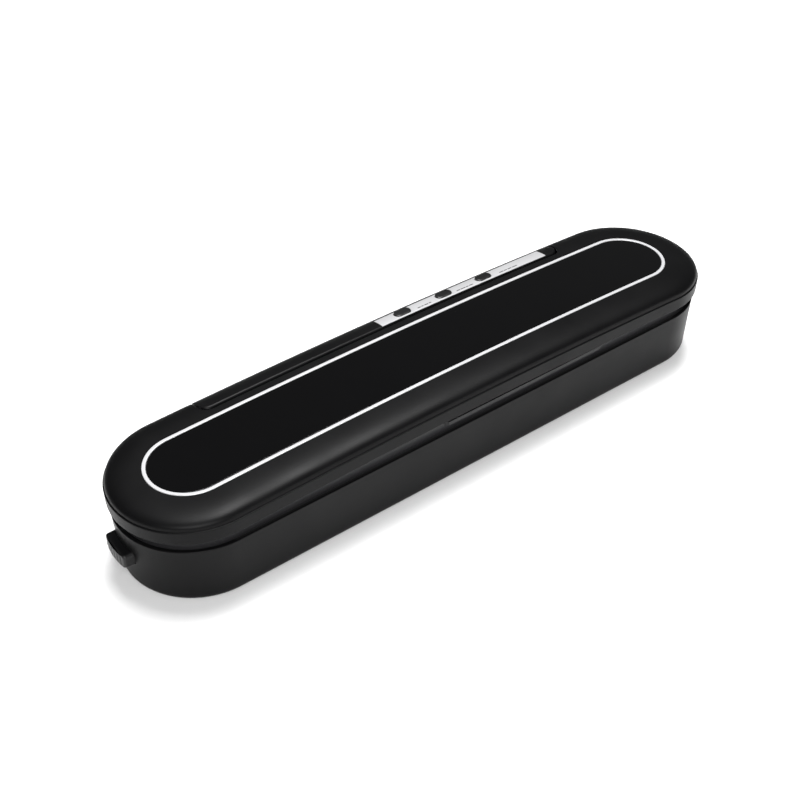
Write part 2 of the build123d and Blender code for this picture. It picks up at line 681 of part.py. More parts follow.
def make_suction_nozzle():
    tube = bar_x((-141.5, -134.4), HOSE_Y, NOZZLE_Z, 1.7)
    collar = bar_x((-136.6, -135.6), HOSE_Y, NOZZLE_Z, 2.4)
    mouth = bar_x((-135.6, -133.0), HOSE_Y, NOZZLE_Z, 2.0)
    return tube + collar + mouth - bar_x((-142, -132), HOSE_Y, NOZZLE_Z, 1.0)


def make_release_valve():
    body = block((VALVE_X - 8, VALVE_X + 8), (SEAL_Y - 6.5, SEAL_Y + 6.5), (17.0, TROUGH_FLOOR - 2))
    spigot = post(VALVE_X, SEAL_Y, (TROUGH_FLOOR - 2, TROUGH_FLOOR + 0.6), 2.5)
    coil = bar_x((VALVE_X - 8, VALVE_X + 6), SEAL_Y, 13.4, 4.4)
    return body + spigot + coil - post(VALVE_X, SEAL_Y, (TROUGH_FLOOR - 6, TROUGH_FLOOR + 2), 1.1)


# ---------------------------------------------------------------- electrics
def make_main_board():
    board = block(BOARD_X, BOARD_Y, BOARD_Z)
    for x, y in BOARD_SPOTS:
        board = board - post(x, y, (0, 10), 1.5)
    z = BOARD_Z[1]
    board += post(-14, 6, (z, z + 12), 4.0) + post(-4, 8, (z, z + 9), 3.0)
    board += block((6, 20), (-11, 1), (z, z + 9)) + block((25, 36), (4, 11), (z, z + 7))
    board += block((-26, -18), (-10, 2), (z, z + 6)) + block((-12, 0), (-9, -4), (z, z + 2))
    return board


def make_board_screws():
    screws = Part()
    for x, y in BOARD_SPOTS:
        screws += post(x, y, (BOARD_Z[1], BOARD_Z[1] + 1.4), 2.3)
        screws += post(x, y, (BOARD_Z[0] - 2.6, BOARD_Z[1]), 1.0)
    return screws


def make_transformer():
    core = block((70, 98), (-13, 15), (FLOOR, 27.0)) - block((75, 79.5), (-14, 16), (7.5, 21.5))
    core = core - block((88.5, 93), (-14, 16), (7.5, 21.5))
    winding = block((75.1, 92.9), (-17, 19), (7.6, 21.4)) - block((79.5, 88.5), (-13, 15), (7, 22))
    return core + winding


def make_lid_switch():
    x, y = LID_SWITCH
    body = block((x - 10, x + 10), (y - 2.9, y + 2.9), (24.0, 33.4))
    return body + post(x, y, (33.4, 34.6), 1.1)


def make_power_inlet():
    """A two-pin appliance inlet: a body with a flange inside the wall, a figure-eight socket and two pins."""
    body = block((INLET_X - 10, INLET_X + 10), (22.0, 39.2), (INLET_Z - 7, INLET_Z + 7))
    body += block((INLET_X - 11.8, INLET_X + 11.8), (33.8, 35.3), (INLET_Z - 8.6, INLET_Z + 8.6))
    left = Pos(INLET_X - 4.2, 0, INLET_Z)
    right = Pos(INLET_X + 4.2, 0, INLET_Z)
    lobe = Pos(0, 36.0, 0) * Rot(90, 0, 0) * Cylinder(4.0, 14)
    waist = block((INLET_X - 4.2, INLET_X + 4.2), (29.0, 43.0), (INLET_Z - 3.4, INLET_Z + 3.4))
    body = body - (left * lobe) - (right * lobe) - waist
    pin = Pos(0, 32.5, 0) * Rot(90, 0, 0) * Cylinder(1.15, 7.5)
    return body + (left * pin) + (right * pin)


# ---------------------------------------------------------------- write every node
PIECES = {
    "lid_shell": make_lid_shell,
    "lid_liner": make_lid_liner,
    "top_panel": make_top_panel,
    "trim_ring": make_trim_ring,
    "upper_gasket": make_upper_gasket,
    "press_strip": make_press_strip,
    "latch_hooks": make_latch_hooks,
    "liner_screws": make_liner_screws,
    "base_housing": make_base_housing,
    "base_deck": make_base_deck,
    "lower_gasket": make_lower_gasket,
    "heater_carrier": make_heater_carrier,
    "heating_ribbon": make_heating_ribbon,
    "seal_tape": make_seal_tape,
    "heater_terminals": make_heater_terminals,
    "rubber_feet": make_rubber_feet,
    "housing_screws": make_housing_screws,
    "control_bar": make_control_bar,
    "control_plate": make_control_plate,
    "control_board": make_control_board,
    "tact_switches": make_tact_switches,
    "hinge_pins": make_hinge_pins,
    "pump_crankcase": make_pump_crankcase,
    "pump_diaphragm": make_pump_diaphragm,
    "pump_head": make_pump_head,
    "pump_motor": make_pump_motor,
    "motor_mounts": make_motor_mounts,
    "pump_eccentric": make_pump_eccentric,
    "pump_rod": make_pump_rod,
    "pump_hose": make_pump_hose,
    "suction_nozzle": make_suction_nozzle,
    "release_valve": make_release_valve,
    "main_board": make_main_board,
    "board_screws": make_board_screws,
    "transformer": make_transformer,
    "lid_switch": make_lid_switch,
    "power_inlet": make_power_inlet,
}
PAIRS = {
    "release_button": make_release_button,
    "release_slider": make_release_slider,
    "release_spring": make_release_spring,
}


def write(name, solid):
    """Writes one node, standing on its feet."""
    export_step(Pos(0, 0, FOOT_PROUD) * solid, f"parts/{name}.step")


for piece_name, make_piece in PIECES.items():
    write(piece_name, make_piece())
for position, button_x in zip(("left", "centre", "right"), BUTTON_X):
    write(f"control_button_{position}", make_control_button(button_x))
for stem, make_pair in PAIRS.items():
    for position, solid in zip(("left", "right"), both_ends(make_pair)):
        write(f"{stem}_{position}", solid)
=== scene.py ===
import bpy
import bmesh
import json
import math
from mathutils import Matrix, Vector


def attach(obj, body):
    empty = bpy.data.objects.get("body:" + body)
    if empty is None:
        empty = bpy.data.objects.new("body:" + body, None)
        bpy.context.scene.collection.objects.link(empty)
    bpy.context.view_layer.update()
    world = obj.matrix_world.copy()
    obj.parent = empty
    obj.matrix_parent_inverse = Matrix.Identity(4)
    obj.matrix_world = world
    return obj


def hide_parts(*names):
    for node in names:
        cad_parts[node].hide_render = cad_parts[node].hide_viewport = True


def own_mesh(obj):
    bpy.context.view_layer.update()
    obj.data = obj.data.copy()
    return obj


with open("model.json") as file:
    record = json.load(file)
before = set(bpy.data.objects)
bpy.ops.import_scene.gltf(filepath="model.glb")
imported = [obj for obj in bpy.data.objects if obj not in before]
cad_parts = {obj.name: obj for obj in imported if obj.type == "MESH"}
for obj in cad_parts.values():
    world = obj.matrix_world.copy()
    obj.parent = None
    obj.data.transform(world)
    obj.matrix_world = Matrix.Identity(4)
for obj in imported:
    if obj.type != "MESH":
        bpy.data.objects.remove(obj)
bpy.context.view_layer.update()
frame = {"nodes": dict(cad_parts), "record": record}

MM = 0.001
LIFT = 1.2                      # feet under the housing; part heights below are from the housing's underside

# ---------------------------------------------------------------- camera
CAMERA_AZ, CAMERA_EL, CAMERA_ROLL = (math.radians(a) for a in (-37.99, 37.56, -0.39))
CAMERA_AT = (-0.3689, -0.4475, 0.4682)
CAMERA_LENS, CAMERA_SENSOR, CAMERA_NEAR, CAMERA_FAR = 62.02, 36.0, 0.01, 20.0


def make_camera():
    back = Vector((math.sin(CAMERA_AZ) * math.cos(CAMERA_EL), -math.cos(CAMERA_AZ) * math.cos(CAMERA_EL),
                   math.sin(CAMERA_EL)))
    across = Vector((math.cos(CAMERA_AZ), math.sin(CAMERA_AZ), 0.0))
    over = back.cross(across)
    right = math.cos(CAMERA_ROLL) * across + math.sin(CAMERA_ROLL) * over
    up = -math.sin(CAMERA_ROLL) * across + math.cos(CAMERA_ROLL) * over
    data = bpy.data.cameras.new("camera")
    data.sensor_width = CAMERA_SENSOR
    data.lens = CAMERA_LENS
    data.clip_start, data.clip_end = CAMERA_NEAR, CAMERA_FAR
    camera = bpy.data.objects.new("camera", data)
    bpy.context.scene.collection.objects.link(camera)
    turn = Matrix((right, up, back)).transposed().to_4x4()
    camera.matrix_world = Matrix.Translation(CAMERA_AT) @ turn
    bpy.context.scene.camera = camera


# ---------------------------------------------------------------- materials
MIX_SHARE, MIX_A, MIX_B, MIX_RESULT = 0, 6, 7, 2        # sockets of a colour Mix node
NOISE_RANGE = (0.3, 0.7)                                # where most of a noise texture's values lie
SLOW_SHARE, FINE_SHARE = 0.6, 0.4                       # of the colour's change
ROUGH_SPREAD = 0.12
EDGE_RANGE, EDGE_WEAR = (0.53, 0.62), 0.5               # pointiness at which wear starts and is full


def noise(tree, scale, detail=4.0, rough=0.55, stretch=None):
    coords = tree.nodes.new("ShaderNodeTexCoord")
    node = tree.nodes.new("ShaderNodeTexNoise")
    node.inputs["Scale"].default_value = scale
    node.inputs["Detail"].default_value = detail
    node.inputs["Roughness"].default_value = rough
    if stretch:
        mapping = tree.nodes.new("ShaderNodeMapping")
        mapping.inputs["Scale"].default_value = stretch
        tree.links.new(coords.outputs["Object"], mapping.inputs["Vector"])
        tree.links.new(mapping.outputs["Vector"], node.inputs["Vector"])
    else:
        tree.links.new(coords.outputs["Object"], node.inputs["Vector"])
    return node


def span(tree, source, low, high):
    node = tree.nodes.new("ShaderNodeMapRange")
    node.inputs["From Min"].default_value, node.inputs["From Max"].default_value = NOISE_RANGE
    node.inputs["To Min"].default_value = low
    node.inputs["To Max"].default_value = high
    tree.links.new(source, node.inputs["Value"])
    return node.outputs["Result"]


def surface(name, colour, rough, metal=0.0, grain=900.0, bump=0.1, depth=0.02, vary=0.12, stretch=None,
            specular=0.5, wear=None, transmission=0.0):
    """A moulded, drawn or rolled surface: fine grain in the bump, slow change in colour and roughness,
    and worn edges."""
    mat = bpy.data.materials.new(name)
    mat.use_nodes = True
    tree = mat.node_tree
    shader = tree.nodes["Principled BSDF"]
    slow = noise(tree, 35.0, 3.0)
    fine = noise(tree, grain, 2.0, stretch=stretch)
    ramp = tree.nodes.new("ShaderNodeMix")
    ramp.data_type = "RGBA"
    ramp.inputs[MIX_A].default_value = (*[c * (1 - vary) for c in colour], 1)
    ramp.inputs[MIX_B].default_value = (*[min(1.0, c * (1 + vary)) for c in colour], 1)
    both = tree.nodes.new("ShaderNodeMath")
    both.operation = "ADD"
    tree.links.new(span(tree, slow.outputs["Fac"], 0.0, SLOW_SHARE), both.inputs[0])
    tree.links.new(span(tree, fine.outputs["Fac"], 0.0, FINE_SHARE), both.inputs[1])
    tree.links.new(both.outputs[0], ramp.inputs[MIX_SHARE])
    colour_out = ramp.outputs[MIX_RESULT]
    rough_high = min(1.0, rough * (1 + ROUGH_SPREAD))
    rough_out = span(tree, slow.outputs["Fac"], rough * (1 - ROUGH_SPREAD), rough_high)
    if wear:
        geometry = tree.nodes.new("ShaderNodeNewGeometry")
        edge = tree.nodes.new("ShaderNodeMapRange")
        edge.inputs["From Min"].default_value, edge.inputs["From Max"].default_value = EDGE_RANGE
        edge.inputs["To Max"].default_value = EDGE_WEAR
        tree.links.new(geometry.outputs["Pointiness"], edge.inputs["Value"])
        worn = tree.nodes.new("ShaderNodeMix")
        worn.data_type = "RGBA"
        worn.inputs[MIX_B].default_value = (*wear, 1)
        tree.links.new(edge.outputs["Result"], worn.inputs[MIX_SHARE])
        tree.links.new(colour_out, worn.inputs[MIX_A])
        colour_out = worn.outputs[MIX_RESULT]
    tree.links.new(colour_out, shader.inputs["Base Color"])
    tree.links.new(rough_out, shader.inputs["Roughness"])
    shader.inputs["Metallic"].default_value = metal
    shader.inputs["Specular IOR Level"].default_value = specular
    shader.inputs["Transmission Weight"].default_value = transmission
    if bump:
        node = tree.nodes.new("ShaderNodeBump")
        node.inputs["Strength"].default_value = bump
        node.inputs["Distance"].default_value = depth * MM
        tree.links.new(fine.outputs["Fac"], node.inputs["Height"])
        tree.links.new(node.outputs["Normal"], shader.inputs["Normal"])
    return mat


# one finish for each material slot; mark_grey is the print on the silver plate
FINISHES = {
    "satin_black_lid": dict(colour=(0.002, 0.002, 0.0022), rough=0.42, specular=0.1, grain=2600, bump=0.25,
        wear=(0.02, 0.02, 0.02)),
    "satin_black_base": dict(colour=(0.0035, 0.0035, 0.0037), rough=0.42, specular=0.09, grain=2600,
        bump=0.25, wear=(0.025, 0.025, 0.025)),
    "satin_black_bar": dict(colour=(0.0028, 0.0028, 0.003), rough=0.38, specular=0.11, grain=2600,
        bump=0.25, wear=(0.02, 0.02, 0.02)),
    "gloss_panel": dict(colour=(0.001, 0.001, 0.0012), rough=0.06, grain=60, bump=0.02, depth=0.05,
        specular=0.35),
    "silver_ring": dict(colour=(0.5, 0.5, 0.51), rough=0.35, metal=0.2, grain=1500, bump=0.08, vary=0.03),
    "silver_plate": dict(colour=(0.52, 0.52, 0.53), rough=0.42, metal=0.4, grain=900, bump=0.12, vary=0.05,
        stretch=(0.02, 1, 1)),
    "button_black": dict(colour=(0.004, 0.004, 0.0043), rough=0.3, grain=2200, bump=0.12,
        wear=(0.03, 0.03, 0.03)),
    "release_black": dict(colour=(0.003, 0.003, 0.0033), rough=0.5, specular=0.3, grain=2000, bump=0.3,
        wear=(0.03, 0.03, 0.03)),
    "inner_black": dict(colour=(0.008, 0.008, 0.0085), rough=0.5, specular=0.25, grain=1400, bump=0.35),
    "deck_grey": dict(colour=(0.02, 0.02, 0.0215), rough=0.5, specular=0.3, grain=1400, bump=0.35),
    "foam_grey": dict(colour=(0.1, 0.1, 0.105), rough=0.95, grain=1600, bump=0.9, depth=0.15, vary=0.3,
        specular=0.2),
    "silicone_red": dict(colour=(0.17, 0.03, 0.022), rough=0.5, grain=900, bump=0.2, vary=0.15),
    "heat_carrier": dict(colour=(0.3, 0.25, 0.18), rough=0.6, grain=1200, bump=0.3, vary=0.15),
    "ribbon_metal": dict(colour=(0.56, 0.54, 0.5), rough=0.32, metal=1.0, grain=1500, bump=0.2,
        stretch=(0.03, 1, 1)),
    "tape_brown": dict(colour=(0.17, 0.095, 0.045), rough=0.42, grain=1800, bump=0.6, depth=0.04,
        vary=0.2),
    "brass": dict(colour=(0.74, 0.55, 0.22), rough=0.28, metal=1.0, grain=1300, bump=0.15, vary=0.08,
        wear=(0.9, 0.75, 0.42)),
    "screw_steel": dict(colour=(0.5, 0.5, 0.52), rough=0.35, metal=1.0, grain=1300, bump=0.2,
        wear=(0.75, 0.75, 0.76)),
    "pin_steel": dict(colour=(0.62, 0.62, 0.63), rough=0.25, metal=1.0, grain=1500, bump=0.1,
        stretch=(1, 0.1, 0.1)),
    "spring_steel": dict(colour=(0.55, 0.55, 0.56), rough=0.28, metal=1.0, grain=1500, bump=0.1),
    "foot_rubber": dict(colour=(0.02, 0.02, 0.02), rough=0.8, grain=1500, bump=0.5, specular=0.3),
    "board_green": dict(colour=(0.015, 0.11, 0.035), rough=0.4, grain=500, bump=0.3, depth=0.04, vary=0.3),
    "switch_black": dict(colour=(0.025, 0.025, 0.025), rough=0.5, grain=1500, bump=0.3,
        wear=(0.08, 0.08, 0.08)),
    "motor_steel": dict(colour=(0.55, 0.55, 0.57), rough=0.3, metal=1.0, grain=1200, bump=0.2,
        stretch=(1, 0.1, 0.1)),
    "pump_grey": dict(colour=(0.16, 0.16, 0.17), rough=0.55, grain=1400, bump=0.35,
        wear=(0.28, 0.28, 0.29)),
    "pump_white": dict(colour=(0.72, 0.72, 0.69), rough=0.5, grain=1400, bump=0.25),
    "diaphragm_rubber": dict(colour=(0.025, 0.025, 0.025), rough=0.65, grain=1500, bump=0.3),
    "mount_rubber": dict(colour=(0.04, 0.04, 0.04), rough=0.75, grain=1500, bump=0.4),
    "hose_clear": dict(colour=(0.7, 0.7, 0.66), rough=0.35, grain=900, bump=0.1, transmission=0.25),
    "valve_body": dict(colour=(0.06, 0.06, 0.065), rough=0.5, grain=1500, bump=0.3,
        wear=(0.12, 0.12, 0.12)),
    "transformer_steel": dict(colour=(0.35, 0.35, 0.37), rough=0.45, metal=1.0, grain=500, bump=0.5,
        depth=0.1, stretch=(6, 0.1, 0.1)),
    "mark_grey": dict(colour=(0.03, 0.03, 0.032), rough=0.6, grain=3000, bump=0.1, vary=0.2),
    "inlet_black": dict(colour=(0.012, 0.012, 0.012), rough=0.5, grain=1500, bump=0.3,
        wear=(0.02, 0.02, 0.02)),
}
LOOKS = {slot: surface(slot.replace("_", " "), **finish) for slot, finish in FINISHES.items()}

SPLIT_ANGLE = 25                # degrees, over which an edge of a CAD node is crisp
FACE_WEIGHT = 95                # large faces rule the normals, so flat faces stay flat


def finish_cad_nodes():
    """Gives every CAD node its material, crisp edges and flat faces."""
    for part in frame["record"]["subparts"]:
        node = frame["nodes"][part["node"]]
        node.data.materials.clear()
        node.data.materials.append(LOOKS[part["material_slot"]])
        crisp = node.modifiers.new("crisp edges", "EDGE_SPLIT")
        crisp.split_angle = math.radians(SPLIT_ANGLE)
        normals = node.modifiers.new("normals", "WEIGHTED_NORMAL")
        normals.keep_sharp = True
        normals.weight = FACE_WEIGHT


# ---------------------------------------------------------------- the form that every outer piece follows
RUN, SKIRT_R, DOME_R, SHOULDER_R = 143.7, 41.3, 40.6, 23.0
CROWN, TOP, CREASE, SKIRT_FOOT = 3.99, 52.48, 47.4, 40.08
SQUARENESS = 0.71               # of the shoulder's curve
TILT = math.radians(0.98)
SWEEP_R = (RUN ** 2 / 2 + SKIRT_R * RUN) / CROWN
SWEEP_Z = CREASE + CROWN - SWEEP_R
NOTCH_X, NOTCH_Y, NOTCH_CORNER = 119.5, 27.3, 6.3
GAP = 0.9                       # between the control bar and the lid
SEAT_R, SEAT_DEPTH, RING_Y = 22.55, 1.3, 0.5
PANEL_R, RING_IN, RING_OUT = 20.15, 20.4, 22.3
HINGE_Y, HINGE_Z, SWING_R = 34.5, 48.5, 9.75
LIP = 0.45                      # rounded edge all round the notch

BAR_DROP = 0.15                 # the bar's top lies this much under the lid's
PLATE_X, PLATE_Y, PLATE_THICK = (-8.0, 109.0), (29.1, 37.0), 0.8
PLATE_SLACK, PLATE_LOW, PLATE_PROUD, PLATE_ROUND = 0.12, -0.75, 0.06, 0.14
BUTTON_X, BUTTON_Y = (8.4, 36.8, 65.3), 33.2
KEY, KEY_HOLE, KEY_PROUD, KEY_DEPTH = (10.4, 5.4), (10.8, 5.8), 0.4, 2.9
KEY_RIM = [(0.0, -2.9), (0.0, -0.55), (0.04, -0.33), (0.13, -0.15), (0.28, -0.05), (0.5, 0.0), (0.9, 0.02),
           (1.5, 0.035), (2.2, 0.04)]                   # (distance in from the edge, height)
KEY_SINK = 0.045                # the dome's own height, taken off
MARK_Y, MARK_SPACE, MARK_Z = (30.8, 31.5), 0.55, (0.03, 0.075)
MARKS = ((17.4, (2.0, 1.4, 2.6, 1.6)), (44.6, (2.4, 3.2, 1.6, 2.8)), (75.6, (3.0, 2.0, 2.8, 3.6)))

CAP_REACH, CAP_BACK = 43.9, 176.5
CAP_OUTLINE = [(13.0, 23.4), (13.0, 17.2), (11.0, 16.2), (-6.4, 16.0), (-7.4, 17.0), (-7.4, 22.2),
               (-6.2, 23.4)]
CAP_MIDDLE, CAP_ROUND, CAP_GAP = Vector((2.8, 19.8)), 1.1, 0.4
CAP_RIM = ((1.3, 0.0), (0.75, 0.1), (0.35, 0.35), (0.1, 0.75), (0.0, 1.25))     # (depth, distance in)
GRIPS, GRIP_DEPTH, GRIP_WIDTH = (-4.2, -1.4, 1.4, 4.2, 7.0), 0.28, 0.42

WALL_TOP_R, WALL_TOP_Z, WALL_FOOT_R, WALL_FOOT_Z, WALL = 39.68, 33.35, 37.94, 4.65, 2.2
FLOOR, POST_TOP, POST_R, WELL_R, BORE_R, WELL_TOP = 2.2, 30.8, 3.6, 3.2, 1.7, 4.0
INLET_RECESS = (107.8, 128.2), (30.0, 50.0), (9.8, 24.2)
WINDOW_X = (195.0, 165.0)       # how far the end buttons' windows are cut
SCREW_SPOTS = [(60 * sx, y) for sx in (-1, 1) for y in (-20.5, 21.5)]
SCREW_SPOTS += [(146 * sx, y) for sx in (-1, 1) for y in (-17.0, 18.0)]
FOOT_SPOTS = [(x, y) for x in (-120, 120) for y in (-20, 20)]

GASKET_RUN, GASKET_R, GASKET_Y = 128.0, (17.4, 22.0), 0.5
GASKET_FULL, GASKET_SOFT = 0.14, 0.75                   # swell of the face, rounding of its edges
LOWER_GASKET_Z, UPPER_GASKET_Z = (36.4, 38.65), (40.8, 38.95)                   # back and face
COIL_X, COIL_Y, COIL_Z, COIL_R, COIL_PITCH, COIL_TURNS, WIRE_R = 156.9, 3.0, 31.9, 2.0, 1.7, 4, 0.3
EDGE_TURNS = (0, 22.5, 45, 67.5, 90)                    # degrees round a small rounded edge


def crowned(x, y, z, lean):
    """A point drawn on the level form, carried along the crown and, on the lid, tilted forward.
    z is at the middle."""
    along = max(-RUN, min(RUN, x))
    turn = along / SWEEP_R
    over, rise = x - along, z - SWEEP_Z
    px = over * math.cos(turn) + rise * math.sin(turn)
    pz = -over * math.sin(turn) + rise * math.cos(turn) + SWEEP_Z
    py = y
    if lean:
        dy, dz = y - SKIRT_R, pz - SKIRT_FOOT
        py = SKIRT_R + dy * math.cos(TILT) - dz * math.sin(TILT)
        pz = SKIRT_FOOT + dy * math.sin(TILT) + dz * math.cos(TILT)
    return Vector((px, py, pz + LIFT)) * MM


def level(x, y, z):
    return Vector((x, y, z + LIFT)) * MM


def shoulder_z(r, drop=0.0):
    """Height of the rounded edge at a distance from the middle line, for the middle of the length."""
    top, low = TOP + CROWN - drop, CREASE + CROWN - drop
    if r <= SHOULDER_R:
        return top
    turn = math.asin(min(1.0, ((r - SHOULDER_R) / (DOME_R - SHOULDER_R)) ** (1 / SQUARENESS)))
    return low + (top - low) * max(0.0, math.cos(turn)) ** SQUARENESS


def shoulder_r(step, steps):
    """Distances from the middle line, closing up towards the shoulder's steep end."""
    turn = math.pi / 2 * step / steps
    return SHOULDER_R + (DOME_R - SHOULDER_R) * math.sin(turn) ** SQUARENESS


def arc(centre, radius, start, end, steps):
    """Points on an arc in (r, z), angles in degrees."""
    out = []
    for i in range(steps + 1):
        a = math.radians(start + (end - start) * i / steps)
        out.append((centre[0] + radius * math.cos(a), centre[1] + radius * math.sin(a)))
    return out


def steps_between(low, high, count):
    return [low + (high - low) * i / count for i in range(count + 1)]


class Form:
    """A mesh gathered point by point, with points that meet welded together."""

    def __init__(self):
        self.points, self.faces, self.seen = [], [], {}

    def add(self, p):
        key = (round(p[0] * 2e6), round(p[1] * 2e6), round(p[2] * 2e6))
        if key not in self.seen:
            self.seen[key] = len(self.points)
            self.points.append(tuple(p))
        return self.seen[key]

    def face(self, *corners):
        ids = []
        for p in corners:
            i = self.add(p)
            if i not in ids:
                ids.append(i)
        if len(ids) > 2:
            self.faces.append(ids)

    def grid(self, rows, closed=False):
        """Quads between neighbouring rows of points."""
        for a, b in zip(rows, rows[1:] + (rows[:1] if closed else [])):
            for i in range(len(a) - 1):
                self.face(a[i], a[i + 1], b[i + 1], b[i])

    def solid(self, name):
        """The form as a mesh with its faces turned outwards."""
        mesh = bpy.data.meshes.new(name)
        mesh.from_pydata(self.points, [], self.faces)
        form = bmesh.new()
        form.from_mesh(mesh)
        bmesh.ops.recalc_face_normals(form, faces=form.faces)
        form.to_mesh(mesh)
        form.free()
        return mesh

    def piece(self, name, body, look, *nodes, crease=32.0, slot=None):
        """The form as a visible piece on a body, in place of CAD nodes."""
        mesh = self.solid(name)
        obj = bpy.data.objects.new(name, mesh)
        bpy.context.scene.collection.objects.link(obj)
        mesh.materials.append(LOOKS[look])
        sharpen(obj, crease)
        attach(obj, body)
        if nodes:
            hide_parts(*nodes)
        return obj


def between(first, second):
    """A solid between two like outlines."""
    form = Form()
    n = len(first)
    form.points = [tuple(p) for p in first + second]
    form.faces = [list(range(n))[::-1], list(range(n, 2 * n))]
    form.faces += [[i, (i + 1) % n, (i + 1) % n + n, i + n] for i in range(n)]
    return form


def prism(outline_xy, low, high):
    """An upright solid over an outline in (x, y)."""
    return between([level(x, y, low) for x, y in outline_xy], [level(x, y, high) for x, y in outline_xy])


def obround(x, y, length, width, steps=14):
    half, r = (length - width) / 2, width / 2
    turns = steps_between(-math.pi / 2, math.pi / 2, steps)
    out = [(x + half + r * math.cos(a), y + r * math.sin(a)) for a in turns]
    return out + [(x - half - r * math.cos(a), y - r * math.sin(a)) for a in turns]


def cut(obj, form, how="DIFFERENCE"):
    """Takes a solid away from a piece, or joins it on."""
    tool = bpy.data.objects.new("cutter", form.solid("cutter"))
    bpy.context.scene.collection.objects.link(tool)
    step = obj.modifiers.new("cut", "BOOLEAN")
    step.operation, step.solver, step.object = how, "EXACT", tool
    bpy.context.view_layer.update()
    done = bpy.data.meshes.new_from_object(obj.evaluated_get(bpy.context.evaluated_depsgraph_get()))
    obj.modifiers.remove(step)
    obj.data = done
    bpy.data.objects.remove(tool)


def sharpen(obj, crease, weighted=True):
    """Smooth shading with crisp edges over an angle in degrees."""
    form = bmesh.new()
    form.from_mesh(obj.data)
    for f in form.faces:
        f.smooth = True
    for e in form.edges:
        e.smooth = not (len(e.link_faces) == 2 and e.calc_face_angle(0.0) > math.radians(crease))
    form.to_mesh(obj.data)
    form.free()
    if weighted:
        obj.modifiers.new("normals", "WEIGHTED_NORMAL").keep_sharp = True


def stadium(run, count_run, count_end, extra=()):
    """Places round a stadium: (centre x, direction x, direction y), from the rear right and going round."""
    xs = sorted(set(steps_between(-run, run, count_run)) | set(extra))
    places = [(x, 0.0, 1.0) for x in reversed(xs)]
    left_end = steps_between(math.pi / 2, 1.5 * math.pi, count_end)[1:-1]
    right_end = steps_between(-math.pi / 2, math.pi / 2, count_end)[1:-1]
    places += [(-run, math.cos(a), math.sin(a)) for a in left_end]
    places += [(x, 0.0, -1.0) for x in steps_between(-run, run, count_run)]
    places += [(run, math.cos(a), math.sin(a)) for a in right_end]
    return places


def band(form, places, outline, put, y=0.0, closed=True):
    """Carries an outline of (r, z) round the stadium. A closed outline makes a ring."""
    loop = outline + (outline[:1] if closed else [])
    form.grid([[put(cx + r * dx, y + r * dy, z) for r, z in loop] for cx, dx, dy in places], closed=True)


def lean(x, y, z):
    return crowned(x, y, z, True)


def upright(x, y, z):
    return crowned(x, y, z, False)


# ---------------------------------------------------------------- lid: shell, ring and panel
def lid_rows():
    """The lid's outer outline as (r, z, inner r, inner z), from the panel's seat to the skirt's foot."""
    top = TOP + CROWN
    roof = top - 3.1
    rows = [(SEAT_R, top - SEAT_DEPTH, SEAT_R, roof), (SEAT_R, top - 0.16, SEAT_R + 0.05, roof),
            (SEAT_R + 0.05, top - 0.05, SEAT_R + 0.1, roof), (SEAT_R + 0.16, top, SEAT_R + 0.2, roof)]
    edge = NOTCH_Y - LIP
    corner = NOTCH_Y + NOTCH_CORNER
    rs = sorted({round(shoulder_r(i, 30), 4) for i in range(31)} | {edge, corner})
    rs = [r for r in rs if r in (edge, corner) or min(abs(r - edge), abs(r - corner)) > 0.12]
    for r in rs:
        z = shoulder_z(r)
        inner_r = min(r, 38.4)
        inner_z = min(roof, z - 2.0) if r < 36 else max(CREASE + CROWN - 1.6, z - 2.6)
        rows.append((r, z, inner_r, min(inner_z, roof)))
    ledge = CREASE + CROWN
    foot = SKIRT_FOOT + CROWN
    inside = SKIRT_R - 1.7
    rows.append((DOME_R + 0.06, ledge - 0.05, 38.6, ledge - 1.8))
    rows.append((SKIRT_R - 0.3, ledge - 0.24, 39.0, ledge - 2.0))
    rows += [(r, z, inside, z - 2.0) for r, z in arc((SKIRT_R - 0.28, ledge - 0.54), 0.28, 75, 0, 4)]
    for z in steps_between(ledge - 1.2, foot + 0.5, 5):
        rows.append((SKIRT_R, z, inside, min(z, ledge - 3.0)))
    rows += [(r, z, inside, foot + 0.45) for r, z in arc((SKIRT_R - 0.45, foot + 0.45), 0.45, -20, -90, 4)]
    rows.append((inside + 0.4, foot, inside, foot + 0.4))
    return rows, edge, corner


